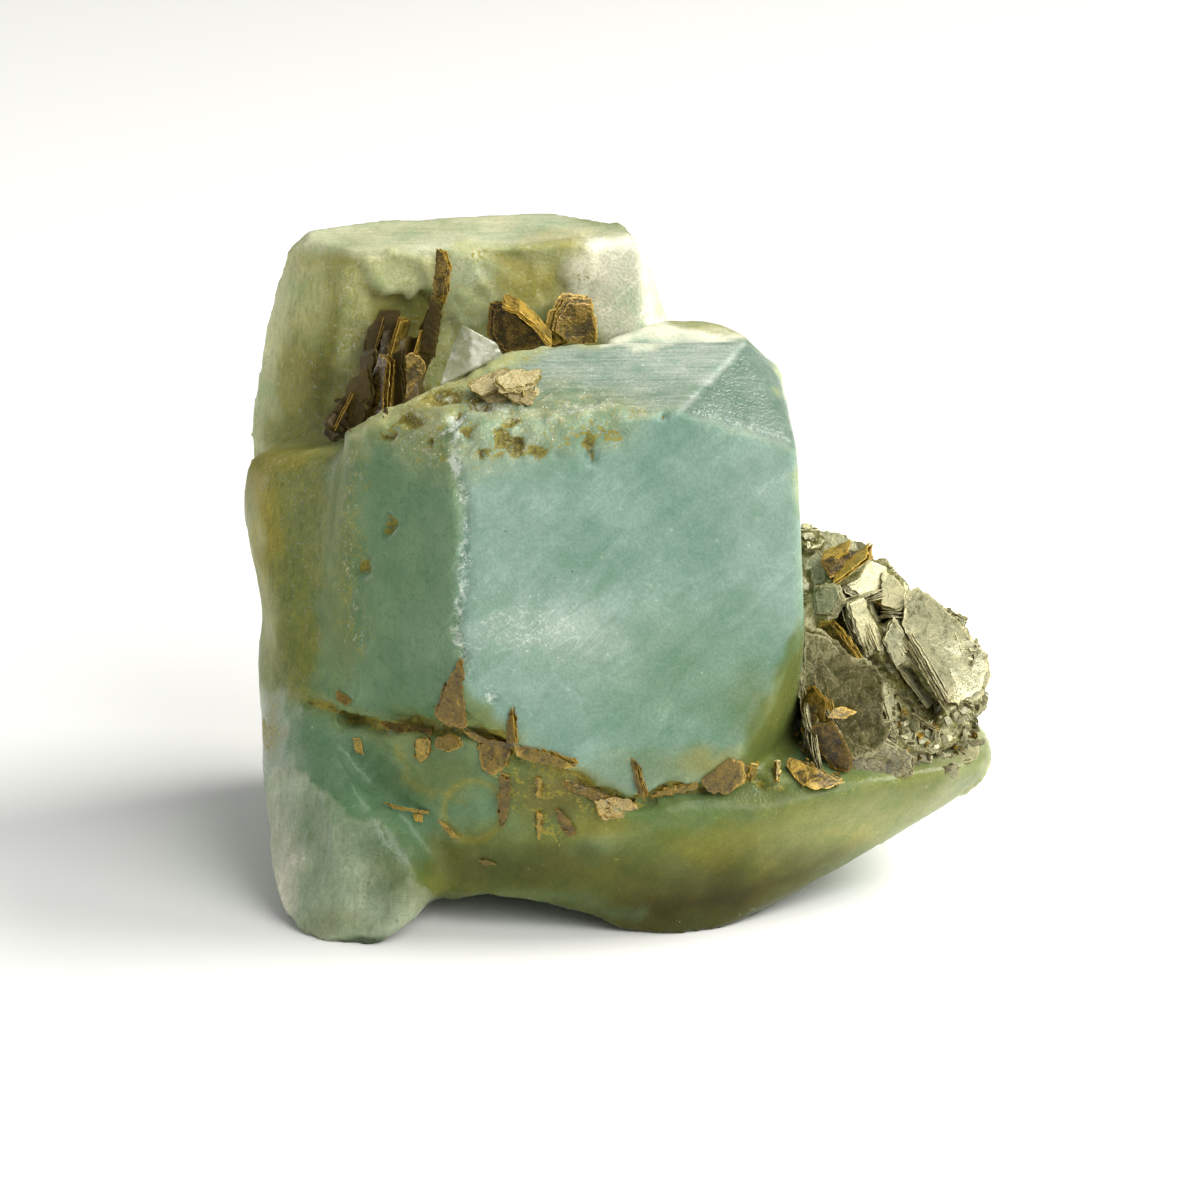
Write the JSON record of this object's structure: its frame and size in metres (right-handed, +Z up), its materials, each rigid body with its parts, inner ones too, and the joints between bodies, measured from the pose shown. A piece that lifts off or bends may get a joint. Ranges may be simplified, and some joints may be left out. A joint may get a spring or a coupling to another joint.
{
  "type": "aquamarine specimen",
  "caption": "Cluster of blocky blue-green beryl crystals on a broad foot, with a stack of silvery mica on its wing and golden mica in a pocket and a seam",
  "frame": {"origin": "middle of the bounding box, at the level that the feet rest on", "axes": "+X to the right along the longest side, +Y away from the front crystal's face, +Z up"},
  "size_m": [0.0642, 0.0438, 0.0536],
  "materials": {
    "beryl": "cloudy translucent beryl with worn, faintly striated faces",
    "silvery_mica": "silky silver and cream sheets with brown edges",
    "golden_mica": "iron-stained golden brown sheets with a silky sheen",
    "pale_gold_mica": "pale gold flaky sheets",
    "quartz": "milky translucent quartz"
  },
  "bodies": {
    "root": {"aquamarine": "beryl", "muscovite_stack": "silvery_mica", "broken_mica_leaf": "golden_mica", "quartz_wedge": "quartz", "mica_flakes": "pale_gold_mica", "square_mica_book": "golden_mica", "mica_fan": "golden_mica", "tall_mica_blade": "golden_mica", "pocket_mica": "golden_mica", "seam_mica_spike": "golden_mica", "seam_mica_left": "golden_mica", "seam_mica_middle": "golden_mica", "seam_mica_right": "golden_mica", "seam_mica_needle": "golden_mica", "seam_mica_clump": "golden_mica"}
  },
  "joints": []
}
